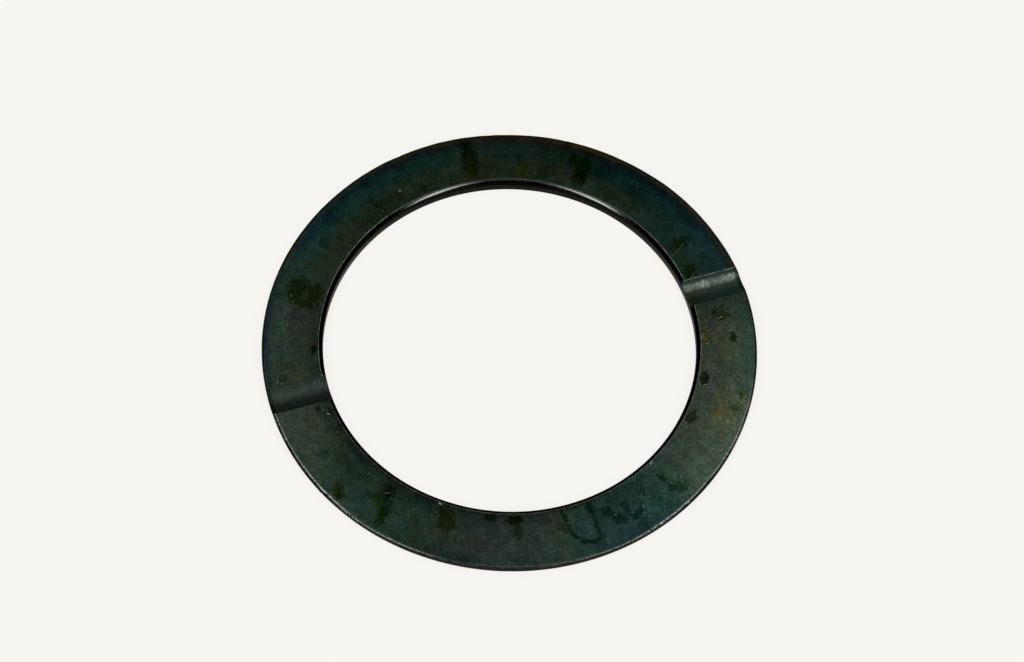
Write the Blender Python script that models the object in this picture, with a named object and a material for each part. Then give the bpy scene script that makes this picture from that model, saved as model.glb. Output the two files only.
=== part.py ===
"""Grooved thrust washer: a flat steel ring with one straight oil groove across its working face.

The origin is the centre of the back face, on the axis of the bore. +Z runs along the axis and out of
the grooved face, and the groove lies along X. Lengths are in metres.
"""

import math

import bmesh
import bpy

# Ring. The bore fits its shaft, and the width runs from the bore out to the 95 mm rim.
BORE_DIAMETER = 0.0717
RING_WIDTH = 0.01165
THICKNESS = 0.003

# Oil groove, a shallow round channel milled right across the grooved face, through the axis
GROOVE_WIDTH = 0.0057
GROOVE_DEPTH = 0.0011

# Stamped edges. Piercing rolls the bore's edge over on the grooved side, and blanking rolls the
# rim's edge over on the back. Both faces are ground flat afterwards, so a roll ends in a crisp line
# where the face cuts it, before it has turned a full quarter. The edge at the other end of each cut
# is only broken by tumbling.
BORE_ROLL_REACH = 0.00077
BORE_ROLL_DROP = 0.0008
RIM_ROLL_REACH = 0.0020
RIM_ROLL_DROP = 0.0022
ROLL_TURN = math.radians(68)
BORE_EDGE_BREAK = 0.00024
RIM_EDGE_BREAK = 0.00042

# Cut walls. The punch shears the first share of each wall square, and tears the rest at a slight
# slope, so the bore opens towards the back and the rim narrows towards the grooved face.
SHEARED_SHARE = 0.5
TEAR_TAPER = 0.00008

# Fineness of the facets
RING_STEPS = 160
ROLL_STEPS = 6
BREAK_STEPS = 3
CUTTER_SIDES = 96
CUTTER_OVERRUN = 0.002
SEAM_MERGE = 0.00001
CREASE_ANGLE = math.radians(15)

# Finish of blued steel
STEEL_COLOUR = (0.045, 0.058, 0.062, 1.0)
STEEL_METALLIC = 1.0
STEEL_ROUGHNESS = 0.38


def clear_scene():
    for thing in list(bpy.data.objects):
        bpy.data.objects.remove(thing, do_unlink=True)


def blued_steel():
    material = bpy.data.materials.new("blued_steel")
    material.use_nodes = True
    shader = material.node_tree.nodes["Principled BSDF"]
    shader.inputs["Base Color"].default_value = STEEL_COLOUR
    shader.inputs["Metallic"].default_value = STEEL_METALLIC
    shader.inputs["Roughness"].default_value = STEEL_ROUGHNESS
    material.diffuse_color = STEEL_COLOUR
    return material


def rolled_edge(wall_radius, face_height, reach, drop):
    """Points of a rolled edge from the wall to the face, as (radius, height).

    The roll is part of an ellipse that leaves the wall upright and stops after ROLL_TURN. A positive
    reach or drop leads towards greater radius or height.
    """
    across = reach / (1 - math.cos(ROLL_TURN))
    along = drop / math.sin(ROLL_TURN)
    points = []
    for step in range(ROLL_STEPS + 1):
        turn = ROLL_TURN * step / ROLL_STEPS
        radius = wall_radius + across * (1 - math.cos(turn))
        height = face_height - drop + along * math.sin(turn)
        points.append((radius, height))
    return points


def broken_edge(wall_radius, face_height, reach, drop):
    """Points of a small quarter round from the wall to the face, as (radius, height)."""
    points = []
    for step in range(BREAK_STEPS + 1):
        turn = math.pi / 2 * step / BREAK_STEPS
        radius = wall_radius + reach * (1 - math.cos(turn))
        height = face_height - drop * (1 - math.sin(turn))
        points.append((radius, height))
    return points


def ring_section():
    """The section as (radius, height) points: down the rim, in along the back and up the bore."""
    bore = BORE_DIAMETER / 2
    rim = bore + RING_WIDTH
    rim_top = rim - TEAR_TAPER
    bore_back = bore + TEAR_TAPER
    rim_wall = THICKNESS - RIM_ROLL_DROP - RIM_EDGE_BREAK
    bore_wall = THICKNESS - BORE_ROLL_DROP - BORE_EDGE_BREAK
    rim_tear_line = RIM_ROLL_DROP + SHEARED_SHARE * rim_wall
    bore_tear_line = THICKNESS - BORE_ROLL_DROP - SHEARED_SHARE * bore_wall

    rim_break = broken_edge(rim_top, THICKNESS, -RIM_EDGE_BREAK, RIM_EDGE_BREAK)
    rim_roll = rolled_edge(rim, 0, -RIM_ROLL_REACH, -RIM_ROLL_DROP)
    bore_break = broken_edge(bore_back, 0, BORE_EDGE_BREAK, -BORE_EDGE_BREAK)
    bore_roll = rolled_edge(bore, THICKNESS, BORE_ROLL_REACH, BORE_ROLL_DROP)
    return (
        rim_break[::-1]
        + [(rim, rim_tear_line)]
        + rim_roll
        + bore_break[::-1]
        + [(bore, bore_tear_line)]
        + bore_roll
    )


def section_mesh(name, points):
    mesh = bpy.data.meshes.new(name)
    corners = [(radius, 0, height) for radius, height in points]
    sides = [(index, (index + 1) % len(corners)) for index in range(len(corners))]
    mesh.from_pydata(corners, sides, [])
    return mesh


def turned_ring(name):
    """The plain ring: its section turned once round Z."""
    ring = bpy.data.objects.new(name, section_mesh(name, ring_section()))
    bpy.context.scene.collection.objects.link(ring)
    turn = ring.modifiers.new("turn", "SCREW")
    turn.axis = "Z"
    turn.angle = 2 * math.pi
    turn.screw_offset = 0
    turn.steps = RING_STEPS
    turn.render_steps = RING_STEPS
    turn.use_merge_vertices = True
    turn.merge_threshold = SEAM_MERGE
    return ring


def groove_cutter():
    """A round bar along X whose lowest line lies GROOVE_DEPTH below the face, and whose chord at
    the face is GROOVE_WIDTH."""
    radius = (GROOVE_WIDTH**2 / 4 + GROOVE_DEPTH**2) / (2 * GROOVE_DEPTH)
    length = BORE_DIAMETER + 2 * (RING_WIDTH + CUTTER_OVERRUN)
    bar = bmesh.new()
    bmesh.ops.create_cone(
        bar,
        cap_ends=True,
        segments=CUTTER_SIDES,
        radius1=radius,
        radius2=radius,
        depth=length,
    )
    mesh = bpy.data.meshes.new("groove_cutter")
    bar.to_mesh(mesh)
    bar.free()
    cutter = bpy.data.objects.new("groove_cutter", mesh)
    cutter.rotation_euler.y = math.pi / 2
    cutter.location.z = THICKNESS - GROOVE_DEPTH + radius
    cutter.display_type = "WIRE"
    cutter.hide_render = True
    bpy.context.scene.collection.objects.link(cutter)
    return cutter


def cut_groove(ring, cutter):
    cut = ring.modifiers.new("oil groove", "BOOLEAN")
    cut.operation = "DIFFERENCE"
    cut.solver = "EXACT"
    cut.object = cutter


def settle(thing):
    """Turns the modifiers' result into the object's own mesh, smooth apart from its creases."""
    bpy.context.view_layer.update()
    graph = bpy.context.evaluated_depsgraph_get()
    mesh = bpy.data.meshes.new_from_object(thing.evaluated_get(graph))
    thing.modifiers.clear()
    thing.data = mesh
    mesh.name = thing.name
    mesh.shade_smooth()
    mesh.set_sharp_from_angle(angle=CREASE_ANGLE)


def main():
    clear_scene()
    washer = turned_ring("thrust_washer")
    cutter = groove_cutter()
    cut_groove(washer, cutter)
    settle(washer)
    bpy.data.objects.remove(cutter, do_unlink=True)
    washer.data.materials.append(blued_steel())


main()
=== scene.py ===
"""Looks of a grooved thrust washer: a blued, stained and worn steel ring on a pale studio floor."""

import math

import bpy
import numpy as np
from mathutils import Matrix, Vector, noise


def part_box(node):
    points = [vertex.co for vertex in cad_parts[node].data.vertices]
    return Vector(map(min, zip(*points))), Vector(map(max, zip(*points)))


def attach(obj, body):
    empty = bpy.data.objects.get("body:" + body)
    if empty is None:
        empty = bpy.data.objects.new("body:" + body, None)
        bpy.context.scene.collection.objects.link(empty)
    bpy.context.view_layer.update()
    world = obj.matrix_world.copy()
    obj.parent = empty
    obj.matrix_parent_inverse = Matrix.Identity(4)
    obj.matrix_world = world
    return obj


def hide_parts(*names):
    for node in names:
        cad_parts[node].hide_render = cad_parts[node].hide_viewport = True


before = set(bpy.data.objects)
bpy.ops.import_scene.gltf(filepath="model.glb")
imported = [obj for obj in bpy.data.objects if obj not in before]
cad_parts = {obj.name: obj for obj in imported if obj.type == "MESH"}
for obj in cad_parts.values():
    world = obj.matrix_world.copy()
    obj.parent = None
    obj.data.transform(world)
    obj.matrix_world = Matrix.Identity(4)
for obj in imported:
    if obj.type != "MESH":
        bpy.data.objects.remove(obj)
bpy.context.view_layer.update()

MM = 0.001
NODE = "thrust_washer"
SLOT = "blued_steel"

# Sizes of the ring, measured on its CAD node
node_low, node_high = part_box(NODE)
THICKNESS = node_high.z - node_low.z
RIM = (node_high.y - node_low.y) / 2
BORE = min(math.hypot(v.co.x, v.co.y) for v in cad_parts[NODE].data.vertices)

# Edge forms and groove, as on the CAD node: (reach, drop) of each roll, then the breaks
BORE_ROLL = (0.77 * MM, 0.80 * MM)
RIM_ROLL = (2.0 * MM, 2.2 * MM)
ROLL_TURN = math.radians(68)
BORE_BREAK = 0.24 * MM
RIM_BREAK = 0.42 * MM
TEAR_TAPER = 0.08 * MM
SHEARED_SHARE = 0.5
GROOVE_HALF = 2.85 * MM
GROOVE_DEPTH = 1.1 * MM
GROOVE_RADIUS = (GROOVE_HALF**2 + GROOVE_DEPTH**2) / (2 * GROOVE_DEPTH)

# Fineness of the ring's mesh
GROOVE_STRIP = 6.0 * MM
GROOVE_STEP = 0.2 * MM
FREE_COLUMNS = 330
FACE_STEP = 0.4 * MM
BACK_STEPS = 10
ROLL_STEPS = 9
BREAK_STEPS = 7
WALL_STEPS = 5
CREASE = math.radians(14)

# Tumbled rim edge: its break grows and shrinks by these shares along the rim. The sways are (waves per
# radian, place in the noise, share), and the dings are the noise's peaks above a floor.
BREAK_SWAY = 0.45
BREAK_LEAST = 0.6
SWAYS = [(5, 1.3, 1.0), (17, 4.1, 0.5)]
DING_SHARE = 0.7
DING_WAVES, DING_PLACE, DING_FLOOR = 45, 7.7, 0.25

# One burr on the rim, at an angle from the groove's right arm
BURR_ANGLE = math.radians(205.3)
BURR_HEIGHT = 0.12 * MM
BURR_HALF = 0.35 * MM
BURR_SKIP = 2  # points of the rim break that it leaves alone

# Places of three runs in the ring's section
TOP_BREAK_RUN, RIM_WALL_RUN, BORE_WALL_RUN = 2, 3, 7

# The photograph's view. Angles in the photograph are counted from its right towards its far side,
# and the groove stands GROOVE_TURN round from there.
GROOVE_TURN = math.radians(19.8)
CAMERA_TILT = 0.50762
CAMERA_ROLL = 0.05106
CAMERA_DISTANCE = 0.41221
CAMERA_ASIDE = (0.000473, 0.0014616)
CAMERA_LENS = 75.6
CAMERA_SENSOR = 36.0
CAMERA_SHIFT = 0.00049

# Light: two tall soft boxes at the photographer's sides and a sky that brightens overhead
BOX_LIFT = 47
BOX_AWAY = 1.6
BOX_SIZE = (0.44, 1.4)
RIGHT_BOX = (315, 6.6)  # angle in the photograph, radiance
LEFT_BOX = (228, 7.4)
SKY_LOW = 0.02
SKY_HIGH = 1.7
SKY_EDGES = (math.sin(math.radians(52)), math.sin(math.radians(80)))

FLOOR_COLOUR = (0.923, 0.905, 0.871)
FLOOR_GLOW = 0.92
FLOOR_ROUGHNESS = 0.9
FLOOR_FLAT, FLOOR_REACH, FLOOR_RISE = 2.6, 4.2, 0.9
FLOOR_SIDES = 96
RISE_STEPS = 12


def make_camera():
    data = bpy.data.cameras.new("camera")
    data.lens = CAMERA_LENS
    data.sensor_width = CAMERA_SENSOR
    data.clip_start = 0.01
    data.shift_x, data.shift_y = -CAMERA_SHIFT, CAMERA_SHIFT
    camera = bpy.data.objects.new("camera", data)
    bpy.context.scene.collection.objects.link(camera)
    turn = (
        Matrix.Rotation(-GROOVE_TURN, 4, "Z")
        @ Matrix.Rotation(CAMERA_TILT, 4, "X")
        @ Matrix.Rotation(CAMERA_ROLL, 4, "Z")
    )
    place = turn @ Vector((*CAMERA_ASIDE, CAMERA_DISTANCE)) + Vector((0, 0, THICKNESS))
    camera.matrix_world = Matrix.Translation(place) @ turn
    bpy.context.scene.camera = camera


def soft_box(name, angle, radiance):
    """A soft box at this angle in the photograph, facing the ring."""
    turn = math.radians(angle) - GROOVE_TURN
    lift = math.radians(BOX_LIFT)
    towards = Vector((math.cos(turn) * math.cos(lift), math.sin(turn) * math.cos(lift), math.sin(lift)))
    data = bpy.data.lights.new(name, "AREA")
    data.shape = "RECTANGLE"
    data.size, data.size_y = BOX_SIZE
    data.energy = radiance * math.pi * BOX_SIZE[0] * BOX_SIZE[1]
    light = bpy.data.objects.new(name, data)
    light.location = towards * BOX_AWAY
    light.rotation_mode = "QUATERNION"
    light.rotation_quaternion = towards.to_track_quat("Z", "Y")
    bpy.context.scene.collection.objects.link(light)


class Graph:
    """Adds nodes to a shader tree. An input may be a socket, a number or a tuple."""

    def __init__(self, tree):
        self.tree = tree

    def feed(self, socket, value):
        if isinstance(value, bpy.types.NodeSocket):
            self.tree.links.new(value, socket)
        else:
            socket.default_value = (*value, 1) if socket.type == "RGBA" else value

    def node(self, kind, inputs, **settings):
        made = self.tree.nodes.new("ShaderNode" + kind)
        for name, value in settings.items():
            setattr(made, name, value)
        for name, value in inputs.items():
            self.feed(made.inputs[name], value)
        return made

    def math(self, operation, first, second=0.0, third=0.0):
        return self.node("Math", {0: first, 1: second, 2: third}, operation=operation).outputs[0]

    def add(self, first, second):
        return self.math("ADD", first, second)

    def times(self, *factors):
        product = factors[0]
        for factor in factors[1:]:
            product = self.math("MULTIPLY", product, factor)
        return product

    def either(self, *masks):
        found = masks[0]
        for mask in masks[1:]:
            found = self.math("MAXIMUM", found, mask)
        return found

    def rest(self, share):
        return self.math("SUBTRACT", 1.0, share)

    def fade(self, share, first, second):
        """A number that goes from first to second as share goes from 0 to 1."""
        return self.add(first, self.times(share, self.math("SUBTRACT", second, first)))

    def ramp(self, value, start, end, low=0.0, high=1.0):
        """Eases from low at start to high at end, and stays level outside them."""
        inputs = {"Value": value, "From Min": start, "From Max": end, "To Min": low, "To Max": high}
        return self.node("MapRange", inputs, interpolation_type="SMOOTHSTEP", clamp=False).outputs[0]

    def band(self, value, low, high, soft):
        """1 between low and high, with soft edges."""
        rise = self.ramp(value, low - soft, low + soft)
        return self.times(rise, self.ramp(value, high + soft, high - soft))

    def vector(self, operation, first, second=(0, 0, 0)):
        made = self.node("VectorMath", {0: first, 1: second}, operation=operation)
        return made.outputs["Value" if operation in ("LENGTH", "DOT_PRODUCT") else "Vector"]

    def stretch(self, at, turn, size):
        """Coordinates turned by turn about Z, in units of size."""
        inputs = {"Vector": at, "Rotation": (0, 0, turn), "Scale": size}
        return self.node("Mapping", inputs, vector_type="TEXTURE").outputs[0]

    def noise(self, at, size, detail=2.0, rough=0.5, low=0.0, high=1.0):
        """Soft noise with features of about this size. Its usual 0.3 to 0.7 becomes low to high."""
        inputs = {"Vector": at, "Scale": 1 / size, "Detail": detail, "Roughness": rough}
        found = self.node("TexNoise", inputs).outputs[0]
        inputs = {"Value": found, "From Min": 0.3, "From Max": 0.7, "To Min": low, "To Max": high}
        return self.node("MapRange", inputs, clamp=False).outputs[0]

    def blend(self, share, first, second, kind="MIX", clamp=True):
        inputs = {0: share, 6: first, 7: second}
        return self.node("Mix", inputs, data_type="RGBA", blend_type=kind, clamp_factor=clamp).outputs[2]

    def tint(self, share, colour, factor):
        """Multiplies colour by factor, in this share."""
        return self.blend(share, colour, factor, "MULTIPLY")

    def scale(self, colour, factor):
        return self.blend(factor, (0, 0, 0), colour, clamp=False)


def make_world():
    world = bpy.data.worlds.new("studio")
    world.use_nodes = True
    graph = Graph(world.node_tree)
    background = world.node_tree.nodes["Background"]
    direction = graph.node("TexCoord", {}).outputs["Generated"]
    height = graph.node("SeparateXYZ", {0: direction}).outputs["Z"]
    graph.feed(background.inputs["Strength"], graph.ramp(height, *SKY_EDGES, SKY_LOW, SKY_HIGH))
    background.inputs["Color"].default_value = (1, 1, 1, 1)
    bpy.context.scene.world = world


def stage_sheet(name, corners, faces, material):
    mesh = bpy.data.meshes.new(name)
    mesh.from_pydata(corners, [], faces)
    mesh.shade_smooth()
    sheet = bpy.data.objects.new(name, mesh)
    sheet.data.materials.append(material)
    bpy.context.scene.collection.objects.link(sheet)
    return sheet


def floor_material():
    material = bpy.data.materials.new("floor")
    material.use_nodes = True
    graph = Graph(material.node_tree)
    shader = material.node_tree.nodes["Principled BSDF"]
    shader.inputs["Base Color"].default_value = (*FLOOR_COLOUR, 1)
    shader.inputs["Roughness"].default_value = FLOOR_ROUGHNESS
    shader.inputs["Specular IOR Level"].default_value = 0.0
    rays = graph.node("LightPath", {}).outputs
    seen = graph.either(rays["Is Camera Ray"], rays["Is Glossy Ray"], rays["Is Transmission Ray"])
    glow = graph.node("Emission", {"Color": FLOOR_COLOUR, "Strength": 1.0}).outputs[0]
    mixed = graph.node("MixShader", {0: graph.times(seen, FLOOR_GLOW), 1: shader.outputs[0], 2: glow})
    graph.feed(material.node_tree.nodes["Material Output"].inputs["Surface"], mixed.outputs[0])
    return material


def make_floor():
    """A pale table that is flat under the ring, and a rise all round it that only low views see."""
    material = floor_material()
    angles = [2 * math.pi * side / FLOOR_SIDES for side in range(FLOOR_SIDES)]
    edge = [(FLOOR_FLAT * math.cos(angle), FLOOR_FLAT * math.sin(angle), 0.0) for angle in angles]
    stage_sheet("floor", edge, [tuple(range(FLOOR_SIDES))], material)
    corners, faces = [], []
    for step in range(RISE_STEPS + 1):
        turn = math.pi / 2 * step / RISE_STEPS
        radius = FLOOR_FLAT + (FLOOR_REACH - FLOOR_FLAT) * math.sin(turn)
        height = FLOOR_RISE * (1 - math.cos(turn))
        corners += [(radius * math.cos(angle), radius * math.sin(angle), height) for angle in angles]
    for start in range(0, RISE_STEPS * FLOOR_SIDES, FLOOR_SIDES):
        for side in range(FLOOR_SIDES):
            first, last = start + side, start + (side + 1) % FLOOR_SIDES
            faces.append((first, first + FLOOR_SIDES, last + FLOOR_SIDES, last))
    backdrop = stage_sheet("backdrop", corners, faces, material)
    backdrop.visible_glossy = False


def rolled_edge(wall, face, reach, drop):
    """A rolled edge from the wall to the face, as (radius, height). It stops before a full quarter."""
    across = reach / (1 - math.cos(ROLL_TURN))
    along = drop / math.sin(ROLL_TURN)
    turns = [ROLL_TURN * step / ROLL_STEPS for step in range(ROLL_STEPS + 1)]
    return [(wall + across * (1 - math.cos(turn)), face - drop + along * math.sin(turn)) for turn in turns]


def broken_edge(wall, face, reach, drop):
    """A small quarter round from the wall to the face, as (radius, height)."""
    turns = [math.pi / 2 * step / BREAK_STEPS for step in range(BREAK_STEPS + 1)]
    return [(wall + reach * (1 - math.cos(turn)), face - drop * (1 - math.sin(turn))) for turn in turns]


def between(first, last, steps):
    """Points strictly between two points of the section."""
    shares = [step / steps for step in range(1, steps)]
    return [tuple(a + (b - a) * share for a, b in zip(first, last)) for share in shares]


def ring_section(rim_break):
    """The closed section in runs, each a list of (radius, height): bore roll, grooved face, rim break,
    rim wall, rim roll, back, bore break and bore wall."""
    tear = TEAR_TAPER
    bore_roll = rolled_edge(BORE, THICKNESS, *BORE_ROLL)
    top_break = broken_edge(RIM - tear, THICKNESS, -rim_break, rim_break)[::-1]
    rim_roll = rolled_edge(RIM, 0.0, -RIM_ROLL[0], -RIM_ROLL[1])
    bore_break = broken_edge(BORE + tear, 0.0, BORE_BREAK, -BORE_BREAK)[::-1]
    rim_tear = RIM_ROLL[1] + SHEARED_SHARE * (THICKNESS - RIM_ROLL[1] - RIM_BREAK)
    bore_tear = THICKNESS - BORE_ROLL[1] - SHEARED_SHARE * (THICKNESS - BORE_ROLL[1] - BORE_BREAK)
    face_steps = round((RIM - BORE) / FACE_STEP)
    face = between(bore_roll[-1], top_break[0], face_steps)
    back = between(rim_roll[-1], bore_break[0], BACK_STEPS)
    rim_wall = (
        between(top_break[-1], (RIM, rim_tear), WALL_STEPS)
        + [(RIM, rim_tear)]
        + between((RIM, rim_tear), rim_roll[0], WALL_STEPS)
    )
    bore_wall = (
        between(bore_break[-1], (BORE, bore_tear), WALL_STEPS)
        + [(BORE, bore_tear)]
        + between((BORE, bore_tear), bore_roll[0], WALL_STEPS)
    )
    return [bore_roll, face, top_break, rim_wall, rim_roll, back, bore_break, bore_wall]


def wall_radius(heights, run, low_end, high_end):
    """Radius of a wall at these heights, read along the wall's own run."""
    path = sorted([low_end, high_end, *run], key=lambda point: point[1])
    return np.interp(heights, [height for _, height in path], [radius for radius, _ in path])


def lower_wall(radii, heights, span, run, low_end, high_end, top):
    """Squeezes a wall's run of points under top, where the groove cuts into it."""
    floor = low_end[1]
    part = (heights[span] - floor) / (high_end[1] - floor)
    heights[span] = floor + part * (min(top, high_end[1]) - floor)
    radii[span] = wall_radius(heights[span], run, low_end, high_end)


def column_angles():
    """The columns of the ring, as (side, value).

    On the right and left, beside the groove, the value is a column's distance from the groove's axis,
    which it keeps, so the groove's edges and its floor stay straight. On the far and near sides it is
    a share of the way between the grooves, where the columns fan out evenly.
    """
    offsets = set(np.round(np.arange(-GROOVE_STRIP, GROOVE_STRIP + GROOVE_STEP / 2, GROOVE_STEP), 7))
    offsets |= {-GROOVE_HALF, GROOVE_HALF}
    offsets = sorted(offsets)
    columns = [("right", offset) for offset in offsets]
    columns += [("far", step / FREE_COLUMNS) for step in range(1, FREE_COLUMNS)]
    columns += [("left", -offset) for offset in offsets]
    columns += [("near", step / FREE_COLUMNS) for step in range(1, FREE_COLUMNS)]
    return columns


def angle_at(column, radii):
    """Angle of each of a column's points, from its radius."""
    side, value = column
    if side == "right":
        return np.arcsin(value / radii)
    if side == "left":
        return math.pi - np.arcsin(value / radii)
    edge = np.arcsin(GROOVE_STRIP / radii)
    start = edge if side == "far" else math.pi + edge
    return start + value * (math.pi - 2 * edge)


def rim_noise(angle, waves, place):
    return noise.noise(Vector((math.cos(angle) * waves, math.sin(angle) * waves, place)))


def rim_break_at(angle):
    """How far the tumbled rim edge is broken here: a slow sway with small dings on it."""
    sway = sum(share * rim_noise(angle, waves, place) for waves, place, share in SWAYS)
    ding = max(0.0, rim_noise(angle, DING_WAVES, DING_PLACE) - DING_FLOOR)
    share = 1 + BREAK_SWAY * sway + DING_SHARE * ding
    return RIM_BREAK * max(BREAK_LEAST, share)


def groove_height(offsets):
    """Height of the groove's floor at these distances from its axis."""
    inside = np.sqrt(np.maximum(GROOVE_RADIUS**2 - offsets**2, 0.0))
    floor = THICKNESS - GROOVE_DEPTH + GROOVE_RADIUS - inside
    return np.where(np.abs(offsets) < GROOVE_HALF, floor, THICKNESS)


def ring_points():
    """Every column's points, as an array (columns, points, 3)."""
    columns = []
    for column in column_angles():
        middle = angle_at(column, np.array([RIM]))[0]
        runs = ring_section(rim_break_at(middle))
        points = np.array([point for run in runs for point in run])
        radii, heights = points[:, 0].copy(), points[:, 1].copy()
        starts = np.cumsum([0] + [len(run) for run in runs])
        rim_span = slice(starts[RIM_WALL_RUN], starts[RIM_WALL_RUN + 1])
        bore_span = slice(starts[BORE_WALL_RUN], starts[BORE_WALL_RUN + 1])
        angles = angle_at(column, radii)
        offsets = radii * np.sin(angles)
        top = groove_height(offsets)
        bore_roll, _, top_break, rim_wall, rim_roll, _, bore_break, bore_wall = runs
        lower_wall(radii, heights, rim_span, rim_wall, rim_roll[0], top_break[-1], top[rim_span.start])
        lower_wall(radii, heights, bore_span, bore_wall, bore_break[-1], bore_roll[0], top[-1])
        heights = np.minimum(heights, top)
        away = (middle - BURR_ANGLE) * RIM / BURR_HALF
        burr_start = starts[TOP_BREAK_RUN] + BURR_SKIP
        radii[burr_start : rim_span.stop] += BURR_HEIGHT * math.exp(-away * away)
        angles = angle_at(column, radii)
        columns.append(np.stack([radii * np.cos(angles), radii * np.sin(angles), heights], axis=1))
    return np.array(columns)


def make_ring(material):
    points = ring_points()
    columns, along = points.shape[:2]
    column, point = np.meshgrid(np.arange(columns), np.arange(along), indexing="ij")
    after, beyond = (column + 1) % columns, (point + 1) % along
    start, start_after = column * along, after * along
    corners = [start + point, start + beyond, start_after + beyond, start_after + point]
    faces = np.stack([corner.ravel() for corner in corners], axis=1)
    mesh = bpy.data.meshes.new("grooved_ring")
    mesh.from_pydata(points.reshape(-1, 3).tolist(), [], faces.tolist())
    mesh.validate()
    mesh.shade_smooth()
    mesh.set_sharp_from_angle(angle=CREASE)
    ring = bpy.data.objects.new("grooved_ring", mesh)
    ring.data.materials.append(material)
    bpy.context.scene.collection.objects.link(ring)
    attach(ring, "root")
    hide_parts(NODE)


# Spots on the grooved face. Each is (angle in the photograph, radius, half length, half width, turn,
# strength), in degrees and millimetres. The length runs clockwise round the ring before the turn.
# Oil and heat stains, by the tint that each multiplies the steel's colour by
OLIVE_TINT = (0.38, 0.42, 0.10)
OLIVE_STAINS = [
    (36.2, 40.0, 1.1, 2.4, 8, 0.8),
    (26.2, 38.4, 1.8, 1.0, -15, 0.9),
    (11.2, 41.2, 1.4, 1.7, 0, 0.75),
    (-12.2, 45.4, 1.0, 0.6, 10, 0.9),
    (-16.2, 44.9, 1.2, 0.45, 0, 0.7),
    (256.0, 40.3, 1.5, 1.5, 0, 0.9),
    (254.6, 38.9, 1.5, 1.2, 0, 0.9),
    (274.6, 40.2, 0.9, 1.6, 10, 0.5),
    (240.6, 44.4, 1.0, 1.7, 12, 0.95),
    (237.9, 39.4, 1.1, 1.7, 15, 0.9),
    (228.3, 45.3, 1.4, 0.8, -40, 0.9),
    (226.2, 42.8, 0.4, 1.5, 30, 0.5),
    (194.6, 44.1, 0.8, 0.55, 0, 0.9),
    (172.1, 40.6, 0.9, 2.5, -4, 0.9),
    (168.6, 38.9, 2.3, 1.3, 0, 1.0),
    (168.8, 42.6, 2.5, 1.8, 10, 0.85),
    (134.0, 39.8, 0.5, 2.0, 14, 0.9),
    (119.6, 38.4, 0.5, 1.1, 0, 0.8),
    (103.6, 41.7, 1.5, 4.2, 0, 0.95),
    (100.0, 39.0, 2.4, 1.2, 0, 0.3),
    (89.6, 41.2, 0.7, 1.4, 10, 0.5),
    (82.4, 38.9, 1.5, 1.5, 0, 0.6),
    (71.3, 41.0, 0.5, 3.0, 6, 0.9),
    (62.4, 38.7, 3.2, 1.1, 0, 0.5),
    (54.4, 38.6, 2.0, 1.2, 0, 0.45),
]
GREEN_TINT = (0.36, 0.54, 0.13)
GREEN_STAINS = [
    (72.2, 41.4, 1.3, 3.2, 8, 1.0),
    (239.6, 42.4, 1.1, 1.9, 18, 0.9),
    (236.6, 41.5, 1.3, 0.9, -20, 0.95),
    (167.2, 42.4, 1.9, 1.9, 0, 0.7),
    (103.8, 44.0, 1.2, 1.8, 0, 0.9),
    (229.0, 45.2, 1.2, 0.9, -40, 0.7),
    (76.0, 43.4, 0.8, 1.4, 10, 0.6),
    (318.4, 43.8, 1.5, 1.1, -20, 0.5),
    (300.2, 41.6, 0.9, 1.0, -20, 0.5),
]
YELLOW_TINT = (1.10, 0.86, 0.13)
YELLOW_STAINS = [
    (35.5, 39.7, 0.7, 1.1, 12, 0.9),
    (25.0, 37.9, 0.8, 0.6, -30, 0.8),
    (4.3, 37.9, 1.9, 0.55, -3, 0.9),
    (89.0, 38.9, 0.95, 1.6, 0, 1.0),
    (74.4, 41.6, 0.6, 1.0, 10, 0.9),
    (102.9, 40.4, 0.25, 2.6, -4, 0.7),
    (228.0, 45.6, 0.6, 0.4, -40, 0.7),
    (170.6, 38.7, 0.7, 0.4, 20, 0.7),
    (167.2, 40.2, 0.4, 0.7, -20, 0.6),
    (171.8, 42.4, 0.35, 0.5, 0, 0.5),
    (341.4, 42.0, 0.7, 1.2, -20, 0.35),
    (340.3, 44.7, 0.45, 0.4, 0, 0.6),
]
DARK_TINT = (0.17, 0.23, 0.11)
DARK_STAINS = [
    (3.9, 43.0, 1.0, 0.9, 35, 1.0),
    (6.6, 44.2, 0.7, 0.5, 0, 0.5),
    (12.0, 40.0, 0.5, 0.4, 0, 0.5),
    (10.4, 42.3, 0.35, 0.6, 10, 0.5),
    (-9.8, 37.9, 1.5, 1.1, 0, 1.0),
    (337.3, 37.9, 1.7, 0.95, 0, 0.85),
    (318.6, 44.2, 1.4, 1.1, -20, 0.55),
    (316.8, 42.8, 0.8, 1.0, 0, 0.65),
    (316.8, 40.8, 0.5, 1.6, 8, 0.75),
    (312.0, 42.9, 0.35, 1.3, 25, 0.5),
    (322.4, 38.6, 1.2, 0.9, 0, 0.3),
    (273.9, 37.9, 1.6, 0.9, 0, 1.0),
    (274.6, 40.4, 0.7, 1.3, 10, 0.45),
    (267.0, 37.6, 1.4, 0.65, 0, 1.0),
    (238.4, 39.0, 0.9, 1.6, 0, 0.7),
    (239.3, 42.2, 0.7, 1.2, 10, 0.5),
    (222.0, 37.6, 2.8, 0.35, 0, 0.5),
    (187.0, 37.5, 0.85, 0.6, 0, 1.0),
    (207.9, 37.2, 0.45, 0.4, 0, 1.0),
    (205.6, 39.4, 0.8, 0.35, 30, 0.8),
    (216.0, 46.2, 0.9, 0.3, -15, 0.35),
    (134.4, 41.5, 0.8, 0.7, -30, 0.5),
    (124.9, 42.6, 0.8, 0.7, 0, 0.45),
    (75.4, 43.6, 0.8, 1.3, 20, 0.6),
    (72.6, 39.6, 1.4, 1.6, -10, 0.6),
    (148.8, 40.0, 0.7, 0.5, 0, 0.3),
    (286.3, 40.6, 0.5, 1.2, 20, 0.5),
]
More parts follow.
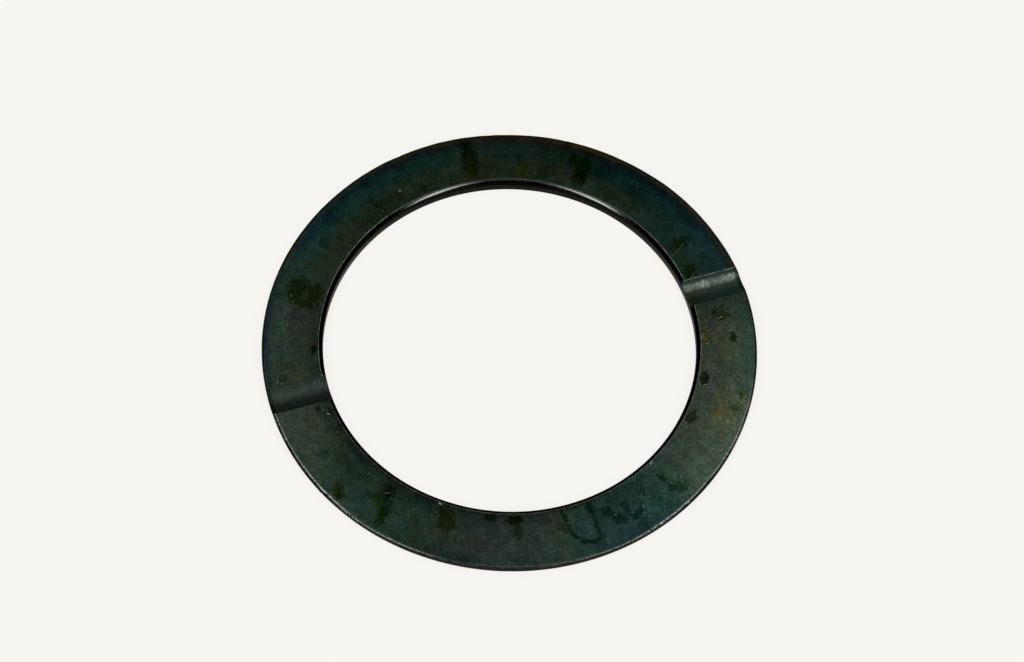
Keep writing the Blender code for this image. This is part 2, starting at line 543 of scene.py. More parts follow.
TEAL_TINT = (0.12, 0.36, 0.38)
TEAL_STAINS = [
    (305.5, 43.3, 1.5, 0.42, 8, 1.0),
    (307.7, 42.3, 1.1, 0.32, 58, 1.0),
    (309.9, 40.3, 1.6, 0.3, 52, 0.8),
    (303.8, 41.4, 0.5, 2.0, 2, 0.8),
    (305.6, 45.4, 0.9, 1.3, 0, 0.6),
    (300.8, 42.4, 1.3, 0.9, -35, 0.8),
    (298.9, 40.2, 1.2, 1.0, -20, 0.9),
    (302.5, 38.2, 1.8, 0.5, 0, 0.5),
    (295.0, 38.5, 0.5, 1.3, 0, 0.6),
    (309.5, 38.0, 2.6, 0.6, 0, 0.3),
    (234.2, 42.0, 0.4, 0.9, 0, 0.6),
    (224.0, 39.6, 2.0, 1.4, 0, 0.35),
    (218.2, 42.8, 1.2, 1.0, 0, 0.35),
    (66.5, 43.0, 2.6, 2.0, 0, 0.55),
    (56.0, 41.8, 3.0, 1.6, 0, 0.35),
    (145.2, 44.2, 2.6, 1.5, 0, 0.45),
    (109.4, 44.8, 1.2, 1.0, 0, 0.5),
    (121.8, 44.4, 1.6, 0.9, 0, 0.4),
    (170.5, 45.4, 0.35, 1.1, 0, 0.6),
    (152.6, 42.4, 0.8, 1.0, 0, 0.45),
    (27.0, 42.4, 2.2, 1.2, 0, 0.4),
    (42.0, 44.8, 3.0, 1.4, 0, 0.3),
]
BROWN_TINT = (1.26, 0.86, 0.74)
BROWN_STAINS = [
    (29.6, 38.6, 2.2, 1.1, 0, 1.0),
    (147.0, 39.4, 5.6, 1.8, 0, 0.7),
    (127.2, 39.4, 1.6, 1.1, 0, 0.9),
    (120.0, 41.2, 1.3, 1.6, 0, 0.5),
    (96.0, 42.2, 0.9, 1.4, 0, 0.8),
    (90.0, 42.4, 3.4, 2.0, 0, 0.6),
    (64.0, 45.9, 3.4, 0.6, 0, 1.0),
    (73.0, 45.2, 2.6, 0.8, 0, 0.9),
    (253.5, 42.8, 2.8, 1.2, 0, 0.6),
    (255.4, 40.0, 1.8, 2.0, 0, 0.9),
    (262.0, 43.0, 3.4, 2.2, 0, 0.4),
    (182.0, 38.3, 4.4, 1.2, 0, 0.5),
    (3.0, 40.8, 4.5, 1.8, 0, 0.5),
    (24.0, 38.3, 1.2, 1.2, 0, 0.3),
    (322.0, 42.0, 1.6, 1.2, 0, 0.2),
]
# Steel that dried drops left bluer, and the largest one's dark outline, an arch open to the bore
DROP_TINT = (0.70, 0.98, 1.32)
DROPS = [
    (291.3, 40.9, 1.5, 2.2, 0, 0.8),
    (-9.0, 39.6, 1.6, 0.6, 0, 0.4),
    (-14.4, 39.2, 1.0, 1.8, 0, 0.4),
    (249.2, 38.2, 2.6, 0.6, 6, 0.6),
    (217.8, 43.2, 1.0, 1.2, 0, 0.6),
]
ARCH_TINT = (0.17, 0.27, 0.23)
ARCH = [
    (295.0, 42.5, 0.38, 1.8, 4, 0.8),
    (295.3, 40.0, 0.32, 1.6, 0, 0.6),
    (295.4, 38.3, 0.7, 1.0, 0, 0.75),
    (293.8, 44.6, 0.9, 0.3, 12, 0.8),
    (291.5, 44.4, 1.3, 0.3, -17, 1.0),
    (289.3, 42.9, 1.2, 0.3, -48, 1.0),
    (288.1, 40.9, 0.3, 1.3, 12, 0.9),
    (287.6, 38.3, 0.34, 1.5, 2, 0.95),
]
# Bare steel: specks and short scratches that catch the light
BARE_SPECKS = [
    (34.4, 39.0, 1.5, 0.07, -72, 0.6),
    (33.8, 37.4, 0.2, 0.1, 0, 0.5),
    (24.5, 38.3, 0.6, 0.08, -70, 0.6),
    (25.4, 38.9, 0.5, 0.08, -50, 0.35),
    (11.7, 42.4, 0.4, 0.09, 40, 0.6),
    (10.2, 41.1, 0.6, 0.1, -75, 0.7),
    (9.9, 40.5, 0.2, 0.12, 0, 0.8),
    (12.4, 41.2, 0.35, 0.08, 80, 0.4),
    (3.4, 43.7, 0.35, 0.12, 10, 0.9),
    (5.0, 43.5, 0.3, 0.08, 45, 0.4),
    (6.2, 38.3, 0.4, 0.08, 60, 0.5),
    (5.0, 37.2, 0.3, 0.1, 10, 0.7),
    (3.9, 36.9, 0.5, 0.12, 0, 0.7),
    (1.9, 38.0, 0.3, 0.09, 80, 0.6),
    (6.4, 40.3, 0.6, 0.07, -40, 0.4),
    (-10.0, 38.9, 0.7, 0.08, -10, 0.6),
    (-11.5, 38.3, 0.6, 0.1, -65, 0.75),
    (-11.6, 37.2, 0.3, 0.12, 20, 0.6),
    (-12.9, 45.9, 0.3, 0.12, 0, 0.5),
    (-13.2, 39.4, 0.5, 0.08, 50, 0.4),
    (339.9, 44.5, 0.35, 0.2, -20, 0.5),
    (338.8, 38.6, 0.6, 0.06, 30, 0.45),
    (336.4, 38.8, 0.8, 0.06, -12, 0.4),
    (317.5, 42.4, 0.35, 0.1, -60, 0.7),
    (317.0, 41.5, 0.25, 0.08, 70, 0.5),
    (307.9, 42.5, 0.6, 0.08, 58, 0.6),
    (309.2, 40.8, 0.9, 0.06, 54, 0.45),
    (300.5, 41.4, 0.2, 0.16, 0, 0.6),
    (318.0, 36.95, 0.4, 0.14, 20, 0.9),
    (271.6, 40.0, 0.22, 0.1, 0, 0.8),
    (252.4, 36.95, 0.4, 0.13, -10, 0.9),
    (253.0, 39.4, 0.35, 0.08, 60, 0.45),
    (252.3, 38.8, 0.2, 0.1, 0, 0.4),
    (238.0, 39.6, 0.9, 0.08, 50, 0.35),
    (208.3, 37.9, 0.35, 0.14, 20, 1.0),
    (195.2, 45.0, 0.38, 0.12, 0, 1.0),
    (172.1, 42.6, 0.2, 0.14, 0, 0.8),
    (170.3, 43.2, 0.35, 0.1, 20, 0.6),
    (172.3, 38.5, 0.3, 0.1, 10, 0.55),
    (166.9, 42.2, 0.3, 0.1, -30, 0.5),
    (168.2, 39.0, 0.2, 0.12, 0, 0.45),
    (134.0, 38.2, 0.12, 0.3, 0, 0.5),
    (125.8, 40.0, 0.3, 0.24, 0, 1.0),
    (230.2, 39.0, 0.3, 0.1, 60, 0.45),
]
# Long light scratches
LONG_SCRATCHES = [
    (330.6, 38.4, 2.8, 0.05, 22, 0.45),
    (326.0, 39.8, 1.8, 0.05, 30, 0.4),
    (273.0, 44.0, 2.2, 0.05, 88, 0.35),
    (280.2, 44.6, 1.9, 0.05, 52, 0.35),
    (281.6, 43.6, 1.5, 0.05, 56, 0.3),
    (64.6, 42.6, 2.2, 0.06, 84, 0.35),
    (61.2, 42.4, 1.6, 0.06, -70, 0.4),
    (68.6, 43.6, 1.8, 0.05, -60, 0.35),
    (56.6, 43.2, 2.2, 0.06, -52, 0.35),
    (75.0, 38.6, 1.3, 0.06, -75, 0.4),
    (85.6, 38.3, 1.6, 0.06, 24, 0.4),
]

# Slow changes of colour round the ring: (middle, half width and softness in degrees, radius where a
# wash starts, radius where it is full, factor on the steel's colour)
WASHES = [
    (206, 13, 12, 36, 41, (1.38, 1.20, 1.12)),
    (243, 42, 16, 40.8, 37.4, (0.60, 0.64, 0.68)),
    (224, 20, 14, 40, 43.5, (1.20, 1.22, 1.42)),
    (256, 8, 8, 45, 46.4, (0.68, 0.68, 0.85)),
    (271, 11, 10, 36, 40, (0.78, 0.80, 0.98)),
    (300, 7, 8, 36, 39, (1.0, 0.80, 0.90)),
    # Lighter at the lower right: burnished steel and a painted sheen
    (334, 36, 24, 39.0, 44.5, (1.36, 1.36, 1.40)),
    (2, 10, 12, 42.5, 46, (0.60, 0.84, 0.98)),
    (32, 8, 9, 39, 42, (1.0, 1.16, 1.45)),
    (60, 12, 12, 40.5, 38.5, (1.15, 1.30, 1.50)),
    (66, 16, 16, 40.0, 41.6, (0.62, 0.76, 0.76)),
    (62, 18, 18, 45.8, 46.6, (1.60, 1.55, 1.40)),
    (66, 14, 12, 44.4, 45.4, (1.35, 0.92, 0.90)),
    (93, 13, 12, 41.5, 43.5, (1.25, 0.95, 0.90)),
    (264, 12, 10, 36, 38, (1.12, 0.98, 1.02)),
    (59, 10, 10, 39.6, 41, (0.74, 1.0, 1.10)),
    (75, 7, 8, 46, 46.8, (1.0, 1.25, 1.60)),
    (226, 8, 8, 40, 38.6, (1.22, 1.20, 1.40)),
    (226, 8, 8, 43.5, 45, (1.30, 1.20, 1.20)),
    (350, 16, 12, 41.8, 39.6, (1.22, 1.14, 1.24)),
    (318, 8, 10, 39.8, 38, (1.30, 1.10, 1.40)),
    (194, 4, 4, 39.8, 37.6, (0.66, 0.76, 0.76)),
    (181, 8, 8, 36, 38, (1.20, 1.10, 1.20)),
    (77, 8, 8, 38.5, 40.5, (1.10, 0.88, 0.64)),
    (103, 9, 10, 38, 40, (1.12, 1.0, 0.92)),
    (135, 8, 8, 41.5, 39.5, (0.72, 0.80, 0.80)),
    (142, 14, 12, 44, 46, (0.76, 1.0, 1.20)),
    (165, 26, 20, 40.5, 44.5, (1.15, 1.30, 1.30)),
    (180, 8, 8, 40.5, 37.5, (0.74, 0.74, 0.80)),
]

# The stains in the order in which they lie on the steel: (spots, waver, reach within which a spot is
# full, reach at which it is gone, whether it is ragged, tint)
STAINS = [
    (BROWN_STAINS, 2.0, 0.2, 1.3, False, BROWN_TINT),
    (TEAL_STAINS, 1.3, 0.65, 1.35, True, TEAL_TINT),
    (DROPS, 1.6, 0.3, 1.3, False, DROP_TINT),
    (OLIVE_STAINS, 1.6, 0.75, 1.35, True, OLIVE_TINT),
    (GREEN_STAINS, 1.6, 0.7, 1.35, True, GREEN_TINT),
    (YELLOW_STAINS, 1.2, 0.5, 1.2, True, YELLOW_TINT),
    (DARK_STAINS, 1.0, 0.75, 1.25, True, DARK_TINT),
    (ARCH, 0.7, 0.7, 1.6, True, ARCH_TINT),
]
RUSTY_PATCH = [
    (342.0, 42.6, 3.2, 2.2, 10, 1.0),
    (336.5, 42.2, 2.0, 1.6, 0, 0.45),
]

# Fine scratches all over the face: (turn in degrees, length, noise level where they start, strength)
FINE_SCRATCHES = [
    (97, 4.0, 0.68, 0.5),
    (52, 3.5, 0.69, 0.6),
    (14, 4.0, 0.70, 0.4),
]
SCRATCH_WIDTH = 0.10
SCRATCH_EDGE = 0.06

# Steel colours
SLATE = (0.024, 0.036, 0.028)
TEAL = (0.0085, 0.038, 0.036)
OLIVE = (0.022, 0.035, 0.020)
NAVY = (0.008, 0.018, 0.026)
PLUM = (0.020, 0.016, 0.018)
UMBER = (0.030, 0.029, 0.014)
# The next colour is the rubbing and painted sheen at the lower right
GREY_GREEN = (0.058, 0.078, 0.056)
BARE = (0.38, 0.43, 0.38)
GOLDEN_STEEL = (0.42, 0.30, 0.13)
# The next colour is the rolled bore edge's steel, which is dimmed and brightened by sector into painted
# highlight and painted shade
ROLL_STEEL = (0.070, 0.074, 0.067)
WALL_STEEL = (0.020, 0.020, 0.017)
RIM_STEEL = (0.006, 0.006, 0.005)
GROOVE_STEEL = (0.030, 0.044, 0.034)
# The next colour is pale scuffing in the groove, which is also a painted highlight
SCUFF_HIGHLIGHT_STEEL = (0.225, 0.275, 0.235)
MIRRORED_EDGE = (0.55, 0.55, 0.55)

# Factors on the steel's colour
RUST = (1.45, 0.98, 0.66)
LEFT_SHADE = (0.48, 0.66, 0.58)
BORE_MARGIN = (0.62, 0.48, 0.40)
GREEN_GRAIN = (0.80, 1.0, 0.84)
WARM_CLOUDS = (1.16, 1.0, 0.84)
# Painted shade and light on the groove's sides, in the next three factors: the first darkens, the other two
# lighten
GROOVE_SHADE = (0.34, 0.40, 0.38)
NEAR_EDGE_PAINTED_LIGHT = (1.65, 1.7, 1.6)
NEAR_HALF_PAINTED_LIGHT = (1.0, 1.5, 1.45)
GROOVE_STAIN = (0.95, 0.78, 0.55)
GROOVE_BLUE = (0.95, 0.86, 1.05)

# Places on the ring for the material, in millimetres
FACE_IN = (BORE + BORE_ROLL[0]) / MM
FACE_OUT = (RIM - TEAR_TAPER - RIM_BREAK) / MM
WALL_IN = BORE / MM + 0.12
WALL_OUT = RIM / MM - 0.14
GROOVE_EDGE = GROOVE_HALF / MM + 0.03
RIM_LINE_IN, RIM_LINE_OUT = 46.6, 46.8

# Limits and relief of the finish
LEAST_LEVEL = 0.2
LEAST_ROUGHNESS = 0.12
CUTTER_PITCH, CUTTER_RUN = 0.22 * MM, 1.5 * MM
BUMP_STRENGTH = 0.35
BUMP_HEIGHT = 0.02 * MM


class Face:
    """Places on the ring, in millimetres and as masks, and the noises that its patterns share."""

    def __init__(self, graph):
        self.graph = graph
        self.metres = graph.node("TexCoord", {}).outputs["Object"]
        scaled = (1 / MM, 1 / MM, 1 / MM)
        placed = {"Vector": self.metres, "Rotation": (0, 0, GROOVE_TURN), "Scale": scaled}
        self.at = graph.node("Mapping", placed).outputs[0]
        self.flat = graph.node("Mapping", {"Vector": self.at, "Scale": (1, 1, 0)}).outputs[0]
        self.waver_x = graph.noise(self.flat, 0.9, 3.0, 0.6, -0.5, 0.5)
        self.waver_y = graph.noise(self.moved(53, 17), 0.9, 3.0, 0.6, -0.5, 0.5)
        axes = graph.node("SeparateXYZ", {0: self.at}).outputs
        self.x, self.y, self.height = axes["X"], axes["Y"], axes["Z"]
        sideways = (-math.sin(GROOVE_TURN), math.cos(GROOVE_TURN), 0)
        self.across = graph.vector("DOT_PRODUCT", self.at, sideways)
        self.radius = graph.vector("LENGTH", self.flat)
        self.ray = graph.vector("NORMALIZE", self.flat)
        self.find_regions()
        self.find_noises()

    def find_regions(self):
        """Masks of the groove, back, bore side, rolled bore edge and rim wall, and of three directions.

        Their edges lie just beside those of the section: the groove's floor is at 1.9 mm, the bore's
        roll starts at 2.2 mm and the rim's roll ends there, and the rim's break starts at 2.58 mm.
        """
        graph, radius, height = self.graph, self.radius, self.height
        over_groove = graph.ramp(graph.math("ABSOLUTE", self.across), GROOVE_EDGE, GROOVE_EDGE - 0.08)
        self.in_groove = graph.times(over_groove, graph.ramp(height, 1.75, 1.85))
        self.on_back = graph.ramp(height, 0.40, 0.25)
        self.bore_side = graph.either(
            graph.times(graph.ramp(radius, WALL_IN, WALL_IN - 0.07), graph.ramp(height, 2.3, 2.15)),
            graph.times(graph.ramp(radius, FACE_IN, FACE_IN - 0.06), graph.rest(self.in_groove)),
        )
        self.on_roll = graph.times(self.bore_side, graph.ramp(height, 2.38, 2.6))
        at_rim = graph.ramp(radius, WALL_OUT - 0.06, WALL_OUT)
        rim_top = graph.times(at_rim, graph.ramp(height, 2.86, 2.74))
        rim_low = graph.times(graph.ramp(height, 1.85, 1.75), graph.ramp(height, 0.2, 0.4))
        off_bore = graph.ramp(radius, WALL_IN + 1.0, WALL_IN + 2.0)
        self.rim_wall = graph.times(graph.either(rim_top, rim_low), off_bore)
        self.far = self.sector(92, 66, 40)
        self.near_middle = self.sector(270, 36, 14)
        self.right_arm = graph.ramp(graph.vector("DOT_PRODUCT", self.ray, (1, 0, 0)), -0.1, 0.1)

    def find_noises(self):
        """Noises from 9 mm clouds down to 0.2 mm grain, and the level of grain over the steel."""
        graph = self.graph
        self.broad = graph.noise(self.flat, 9.0, 3.0, 0.55)
        self.patchy = graph.noise(self.moved(31, 7), 3.2, 4.0, 0.6)
        self.blotchy = graph.noise(self.moved(5, 71), 2.2, 5.0, 0.65)
        self.fine = graph.noise(self.at, 0.55, 3.0, 0.65)
        self.grain = graph.noise(self.at, 0.22, 2.0, 0.7)
        self.dots = graph.noise(self.at, 0.3, 2.0, 0.6)
        self.chips = graph.noise(self.at, 0.8, 3.0, 0.7)
        streaks = graph.noise(graph.stretch(self.flat, math.radians(8), (0.8, 4.0, 1)), 1.0, 4.0, 0.65)
        near = graph.rest(self.far)
        grainy = graph.times(self.grain, graph.fade(near, 0.38, 0.88))
        level = graph.add(graph.fade(near, 0.42, 0.18), grainy)
        self.level = graph.times(
            graph.add(level, graph.times(self.fine, 0.42)),
            graph.add(0.80, graph.times(self.blotchy, 0.76)),
            graph.add(0.86, graph.times(streaks, 0.36)),
        )

    def moved(self, x, y):
        """Coordinates on the face moved aside, for a pattern of its own."""
        return self.graph.node("Mapping", {"Vector": self.flat, "Location": (x, y, 0)}).outputs[0]

    def wavering(self, amount):
        """Coordinates on the face pushed about by up to this many millimetres, then a 1."""
        x = self.graph.math("MULTIPLY_ADD", self.waver_x, amount, self.x)
        y = self.graph.math("MULTIPLY_ADD", self.waver_y, amount, self.y)
        return self.graph.node("CombineXYZ", {0: x, 1: y, 2: 1.0}).outputs[0]

    def sector(self, middle, half, soft):
        """1 within this many degrees of a direction, and easing to 0 over soft degrees."""
        turn = math.radians(middle)
        lined = self.graph.vector("DOT_PRODUCT", self.ray, (math.cos(turn), math.sin(turn), 0))
        inner = math.cos(math.radians(max(half - soft / 2, 0)))
        return self.graph.ramp(lined, math.cos(math.radians(half + soft / 2)), inner)

    def reach(self, at, spot):
        """Square of the distance from a spot's middle, in units of its half sizes."""
        angle, radius, half_length, half_width, turn, _ = spot
        around = math.radians(angle)
        x, y = radius * math.cos(around), radius * math.sin(around)
        heading = around - math.pi / 2 + math.radians(turn)
        cosine, sine = math.cos(heading), math.sin(heading)
        along = Vector((cosine, sine, -x * cosine - y * sine)) / half_length
        beside = Vector((-sine, cosine, x * sine - y * cosine)) / half_width
        first = self.graph.vector("DOT_PRODUCT", at, along)
        second = self.graph.vector("DOT_PRODUCT", at, beside)
        return self.graph.math("MULTIPLY_ADD", first, first, self.graph.times(second, second))

    def spots(self, spots, waver, inner, outer):
        """One mask of all the spots: full within inner half sizes, gone by outer."""
        at = self.wavering(waver)
        found = 0.0
        for spot in spots:
            mask = self.graph.ramp(self.reach(at, spot), outer**2, inner**2, 0.0, spot[-1])
            found = self.graph.math("MAXIMUM", found, mask)
        return found

    def scratches(self, turn, length, start):
        """Sparse fine scratches that run at turn degrees, where the noise is above start."""
        local = self.graph.stretch(self.flat, math.radians(turn), (length, SCRATCH_WIDTH, 1))
        fine = self.graph.node("TexNoise", {"Vector": local, "Scale": 1.0, "Detail": 1.0}).outputs[0]
        return self.graph.ramp(fine, start, start + SCRATCH_EDGE)


def tempered_steel(face):
    """Slate steel whose temper colours run from olive at the bore to teal, navy, plum and umber."""
    graph, radius = face.graph, face.radius
    phase = graph.add(radius, graph.add(graph.times(face.broad, 2.4), graph.times(face.patchy, 1.8)))
    edge_phase = graph.add(radius, graph.times(face.patchy, 0.6))
    lower_right = face.sector(307, 17, 14)
    tempered = graph.either(face.far, graph.times(lower_right, 0.8))
    teal = graph.either(
        graph.times(graph.ramp(phase, 41.0, 46.0), tempered),
        graph.times(graph.ramp(face.patchy, 0.55, 1.0), 0.6),
        graph.times(lower_right, 0.65),
        graph.times(face.sector(34, 16, 14), 0.55),
    )
    navy = graph.either(
        graph.times(graph.ramp(phase, 46.0, 47.6), graph.either(face.far, graph.times(lower_right, 0.5))),
        graph.times(face.sector(180, 18, 14), graph.ramp(radius, 45.4, 46.6)),
    )
    plum = graph.times(graph.ramp(edge_phase, 45.7, 46.3), face.sector(70, 55, 40))
    umber = graph.times(graph.ramp(edge_phase, 46.3, 46.9), face.sector(80, 85, 30))
    colour = graph.blend(graph.times(tempered, graph.ramp(phase, 45.0, 41.0), 0.9), SLATE, OLIVE)
    colour = graph.blend(graph.times(teal, 0.95), colour, TEAL)
    colour = graph.blend(graph.times(navy, 0.85), colour, NAVY)
    colour = graph.blend(graph.times(plum, 0.6), colour, PLUM)
    return graph.blend(graph.times(umber, 0.9), colour, UMBER)


def washed(face, colour):
    """Slow differences round the ring: rubbing with a painted sheen and rust at the lower right, shaded at
    the lower left.
    """
    graph, radius = face.graph, face.radius
    # Rubbing and painted sheen: lighter grey-green steel at the lower right
    rubbing_and_painted_sheen = graph.times(
        face.sector(346, 25, 18),
        graph.ramp(face.broad, -0.5, 0.7, 0.6, 1.0),
        graph.ramp(radius, 37.5, 46.0, 0.5, 1.0),
    )
    colour = graph.blend(graph.times(rubbing_and_painted_sheen, 0.85), colour, GREY_GREEN)
    rusty = graph.times(face.spots(RUSTY_PATCH, 3.0, 0.3, 1.2), graph.ramp(face.fine, 0.1, 0.9, 0.35, 1.0))
    colour = graph.tint(rusty, colour, RUST)
    colour = graph.tint(graph.times(face.sector(240, 20, 22), 0.8), colour, LEFT_SHADE)
    for middle, half, soft, none_at, full_at, factor in WASHES:
        wash = graph.times(face.sector(middle, half, soft), graph.ramp(radius, none_at, full_at))
        colour = graph.tint(wash, colour, factor)
    margin = graph.times(
        graph.ramp(radius, 37.7, 37.0),
        face.sector(252, 50, 20),
        graph.ramp(face.patchy, 0.0, 0.9, 0.4, 1.0),
    )
    return graph.tint(margin, colour, BORE_MARGIN)


def stained(face, colour):
    graph = face.graph
    ragged = graph.ramp(graph.add(face.fine, graph.times(face.grain, 0.4)), 0.1, 0.9, 0.84, 1.0)
    for spots, waver, inner, outer, is_ragged, tint in STAINS:
        stain = face.spots(spots, waver, inner, outer)
        if is_ragged:
            stain = graph.times(stain, ragged)
        colour = graph.tint(stain, colour, tint)
    return colour


def grained(face, colour):
    graph = face.graph
    green = graph.noise(face.moved(83, 29), 1.6, 5.0, 0.7)
    colour = graph.tint(green, colour, GREEN_GRAIN)
    colour = graph.tint(graph.noise(face.flat, 3.6, 3.0, 0.6), colour, WARM_CLOUDS)
    return graph.scale(colour, graph.either(face.level, LEAST_LEVEL))


def bare_share(face):
    """How much bare steel shows on the face, in its scratches and specks."""
    graph = face.graph
    scratch = graph.either(
        *[
            graph.times(face.scratches(turn, length, start), strength)
            for turn, length, start, strength in FINE_SCRATCHES
        ]
    )
    scratch = graph.times(scratch, graph.ramp(face.patchy, 0.1, 0.9))
    speck = graph.ramp(graph.noise(face.at, 0.2, 1.0, 0.5), 1.02, 1.25)
    speck = graph.times(speck, graph.ramp(face.patchy, 0.2, 0.9))
    broken = graph.ramp(face.dots, 0.1, 0.8, 0.15, 1.0)
    return graph.either(
        graph.times(scratch, 0.22),
        graph.times(speck, 0.30),
        graph.times(face.spots(LONG_SCRATCHES, 0.3, 0.4, 1.3), broken, 0.30),
        graph.times(face.spots(BARE_SPECKS, 0.35, 0.4, 1.3), broken, 0.75),
    )


def groove_steel(face):
    """Dull steel with cutter marks, chipped in the left arm, and painted light and shade: a pale scuffing
    band with a painted highlight in the far half of the right arm, painted shade along the far edge and
    over the left arm's far half, and painted light along the near edge and over the right arm's near half.
    """
    graph, radius, across, right_arm = face.graph, face.radius, face.across, face.right_arm
    left_arm = graph.rest(right_arm)
    steps = {"Vector": face.metres, "Scale": (1 / CUTTER_PITCH, 1 / CUTTER_RUN, 0)}
    marks = graph.noise(graph.node("Mapping", steps).outputs[0], 1.0, 3.0, 0.6)
    worn_and_bright_places = graph.either(graph.band(radius, 43.6, 46.6, 0.5), graph.band(radius, 38.6, 41.4, 0.5))
    # Scuffing in the far half of the right arm, made pale as a painted highlight of the lamp that it faces
    scuff_and_painted_highlight = graph.times(
        right_arm,
        graph.band(graph.add(across, graph.times(face.patchy, 0.4)), 0.95, 2.15, 0.4),
        graph.ramp(marks, 0.1, 0.9, 0.2, 1.0),
        graph.ramp(face.blotchy, 0.0, 0.9, 0.45, 1.0),
        graph.fade(worn_and_bright_places, 0.5, 1.0),
    )
    colour = graph.blend(scuff_and_painted_highlight, GROOVE_STEEL, SCUFF_HIGHLIGHT_STEEL)
    # Painted shade along the groove's far edge and over the left arm's far half
    shaded = graph.either(graph.ramp(across, 1.9, 2.5), graph.times(left_arm, graph.ramp(across, 0.5, 2.0)))
    colour = graph.tint(graph.times(shaded, 0.7), colour, GROOVE_SHADE)
    # Painted light along the groove's near edge
    colour = graph.tint(graph.ramp(across, -0.9, -2.1), colour, NEAR_EDGE_PAINTED_LIGHT)
    # Painted light over the right arm's near half, tinted teal
    painted_near_half = graph.times(right_arm, graph.ramp(across, 0.3, -0.8))
    colour = graph.tint(painted_near_half, colour, NEAR_HALF_PAINTED_LIGHT)
    stain = graph.times(right_arm, graph.ramp(radius, 39.5, 37.5), graph.ramp(across, 1.2, 0.2))
    colour = graph.tint(stain, colour, GROOVE_STAIN)
    colour = graph.tint(graph.times(left_arm, graph.ramp(radius, 38.6, 37.0)), colour, GROOVE_BLUE)
    pitted = graph.ramp(graph.noise(face.moved(61, 43), 0.7, 4.0, 0.75), 0.0, 1.0, 0.62, 1.30)
    milled = graph.add(0.40, graph.times(marks, 0.3))
    level = graph.fade(left_arm, milled, graph.times(pitted, 0.50))
    grain = graph.times(graph.add(face.fine, face.grain), 0.45)
    colour = graph.scale(colour, graph.add(level, grain))
    chipped = graph.times(
        left_arm, graph.ramp(face.dots, 0.72, 1.05), graph.ramp(face.patchy, 0.1, 0.8, 0.3, 1.0)
    )
    return graph.blend(graph.times(chipped, 0.12), colour, BARE)


def groove_line(face):
    """The worn far edge of the groove's right arm."""
    graph = face.graph
    off_edge = graph.math("ABSOLUTE", graph.math("SUBTRACT", face.across, GROOVE_EDGE))
    worn = graph.times(
        graph.ramp(off_edge, 0.10, 0.03),
        graph.ramp(graph.add(graph.times(face.dots, 0.6), graph.times(face.chips, 0.4)), 0.2, 0.8),
        graph.ramp(face.height, 2.7, 2.85),
        face.right_arm,
    )
    return graph.times(worn, 0.5)


def bore_line(face, far_bore):
    """The worn line between the grooved face and the rolled bore edge."""
    graph = face.graph
    off_edge = graph.math("ABSOLUTE", graph.math("SUBTRACT", face.radius, FACE_IN - 0.01))
    return graph.times(
        graph.ramp(off_edge, 0.12, 0.04),
        graph.ramp(face.height, 2.8, 2.92),
        graph.ramp(face.chips, 0.2, 0.8, 0.35, 1.0),
        graph.fade(far_bore, 0.62, 0.12),
        graph.fade(face.sector(275, 75, 20), 1.0, 0.55),
    )


def rim_line(face):
    """The rim's tumbled edge worn bright, partly a painted highlight of the lamps: strong on the near half
    only, and nearest the camera weaker and lower down the break.
    """
    graph, radius, height = face.graph, face.radius, face.height
    side = graph.times(graph.ramp(radius, FACE_OUT - 0.12, FACE_OUT), graph.ramp(height, 2.84, 2.93))
    middle = graph.times(graph.ramp(height, 2.98, 2.92), graph.ramp(height, 2.60, 2.74))
    all_round = graph.add(0.1, graph.times(face.sector(275, 76, 8), 0.9))
    return graph.times(
        graph.fade(face.near_middle, side, middle),
        graph.ramp(graph.add(graph.times(face.dots, 0.7), graph.times(face.chips, 0.3)), 0.15, 0.9),
        graph.times(graph.fade(face.near_middle, 1.0, 0.2), all_round),
        graph.ramp(radius, RIM_LINE_IN, RIM_LINE_OUT),
    )


def worn_steel(face):
    """Bare steel, golden at two places of the near bore edge."""
    graph = face.graph
    places = graph.either(face.sector(294, 9, 6), face.sector(234, 9, 6))
    return graph.blend(graph.times(places, graph.ramp(face.radius, 40, 38)), BARE, GOLDEN_STEEL)


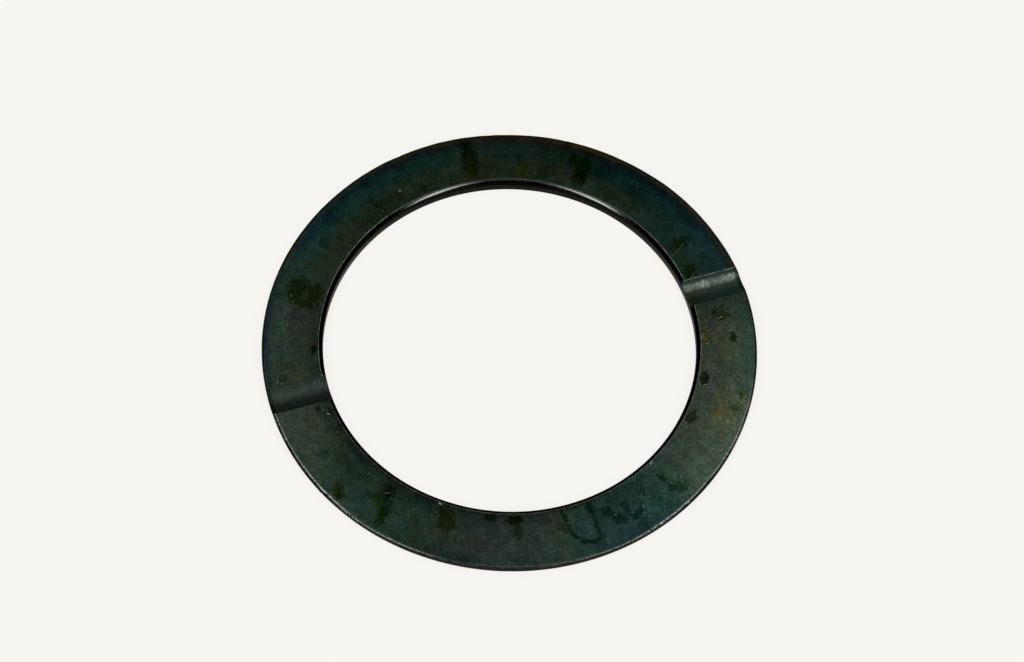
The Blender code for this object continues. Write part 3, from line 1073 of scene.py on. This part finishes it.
def edged(face, colour, far_bore):
    """The rolled bore edge, and the sheared and torn walls, with light and shade painted into their colour:
    a painted highlight in two sectors of the far roll, painted shade over the rest of the roll, and painted
    light and shade on the bore wall.
    """
    graph, height = face.graph, face.height
    grain = graph.add(graph.times(face.grain, 0.5), graph.times(face.fine, 0.35))
    roll = graph.scale(ROLL_STEEL, graph.add(0.55, grain))
    # Painted highlight: the far roll is bright only in the two sectors where the lamps glint on it, and
    # dimmer near the grooved face
    painted_roll_light = graph.either(face.sector(65, 13, 12), face.sector(117, 11, 12))
    painted_roll_light = graph.times(graph.fade(painted_roll_light, 0.25, 1.0), graph.ramp(height, 2.96, 2.80, 0.35, 1.0))
    # Painted shade: beyond the far side the roll's colour is almost black
    roll = graph.scale(roll, graph.fade(far_bore, 0.05, painted_roll_light))
    down = graph.noise(graph.stretch(face.at, 0, (0.35, 0.35, 6.0)), 1.0, 3.0, 0.6)
    drawn = graph.add(0.7, graph.times(down, 0.6))
    # Painted light and shade on the bore wall: lighter at the sides, darker on the far side and towards the
    # top, times the real drawn streaks
    bore_painted_shading_and_streaks = graph.fade(face.sector(90, 50, 40), 1.8, 0.6)
    bore_painted_shading_and_streaks = graph.times(bore_painted_shading_and_streaks, graph.ramp(height, 2.2, 1.4, 0.12, 1.0), drawn)
    bore = graph.blend(face.on_roll, graph.scale(WALL_STEEL, bore_painted_shading_and_streaks), roll)
    colour = graph.blend(face.bore_side, colour, bore)
    at_rim = graph.ramp(face.radius, RIM_LINE_IN, RIM_LINE_OUT)
    rim_break = graph.times(at_rim, graph.ramp(height, 2.99, 2.95))
    rim = graph.scale(RIM_STEEL, graph.times(drawn, graph.fade(face.near_middle, 1.0, 2.2)))
    return graph.blend(graph.either(face.rim_wall, graph.times(rim_break, 0.7)), colour, rim)


def roughness(face):
    graph = face.graph
    rough = graph.add(0.22, graph.add(graph.times(face.fine, 0.08), graph.times(face.patchy, 0.06)))
    rough = graph.fade(graph.either(face.bore_side, face.rim_wall), rough, 0.36)
    rough = graph.fade(face.in_groove, rough, 0.55)
    rough = graph.fade(face.on_roll, rough, 0.13)
    return graph.either(rough, LEAST_ROUGHNESS)


def washer_material():
    material = bpy.data.materials.new(SLOT)
    material.use_nodes = True
    shader = material.node_tree.nodes["Principled BSDF"]
    graph = Graph(material.node_tree)
    face = Face(graph)
    far_bore = face.sector(90, 44, 22)
    colour = stained(face, washed(face, tempered_steel(face)))
    colour = graph.blend(bare_share(face), grained(face, colour), BARE)
    colour = graph.blend(face.in_groove, colour, groove_steel(face))
    colour = graph.blend(face.on_back, colour, graph.scale(SLATE, face.level))
    colour = edged(face, colour, far_bore)
    # Worn bare steel, which on the rim's edge is also a painted highlight
    worn = graph.either(groove_line(face), bore_line(face, far_bore), rim_line(face))
    colour = graph.blend(worn, colour, worn_steel(face))
    graph.feed(shader.inputs["Base Color"], colour)
    graph.feed(shader.inputs["Roughness"], roughness(face))
    shader.inputs["Metallic"].default_value = 1
    shader.inputs["Specular Tint"].default_value = (*MIRRORED_EDGE, 1)
    relief = graph.add(graph.times(face.grain, 0.4), graph.times(face.fine, 0.6))
    bump = graph.node("Bump", {"Height": relief, "Strength": BUMP_STRENGTH, "Distance": BUMP_HEIGHT})
    graph.feed(shader.inputs["Normal"], bump.outputs[0])
    return material


make_camera()
make_world()
make_floor()
soft_box("right_box", *RIGHT_BOX)
soft_box("left_box", *LEFT_BOX)
make_ring(washer_material())

bpy.context.scene.view_settings.view_transform = "Standard"
